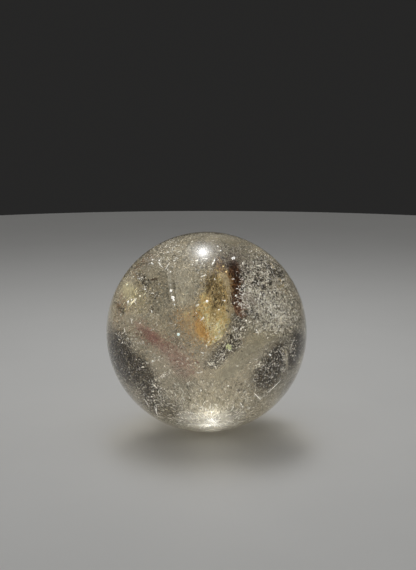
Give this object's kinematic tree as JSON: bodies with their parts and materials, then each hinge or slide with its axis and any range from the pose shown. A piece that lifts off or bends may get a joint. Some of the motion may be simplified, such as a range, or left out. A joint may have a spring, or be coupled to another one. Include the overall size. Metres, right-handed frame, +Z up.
{
  "type": "garden quartz sphere",
  "caption": "Polished ball of see-through quartz with milky veils, flecks and a golden cloud inside, standing on a small ground flat.",
  "frame": {"origin": "middle of the small ground flat that the ball stands on", "axes": "+Z up through the middle of the ball; the side that the picture shows faces -Y, with +X to its right"},
  "size_m": [0.06, 0.06, 0.0595],
  "materials": {
    "quartz": "polished, clear with a fine grey haze"
  },
  "bodies": {
    "root": {"quartz_sphere": "quartz"}
  },
  "joints": []
}
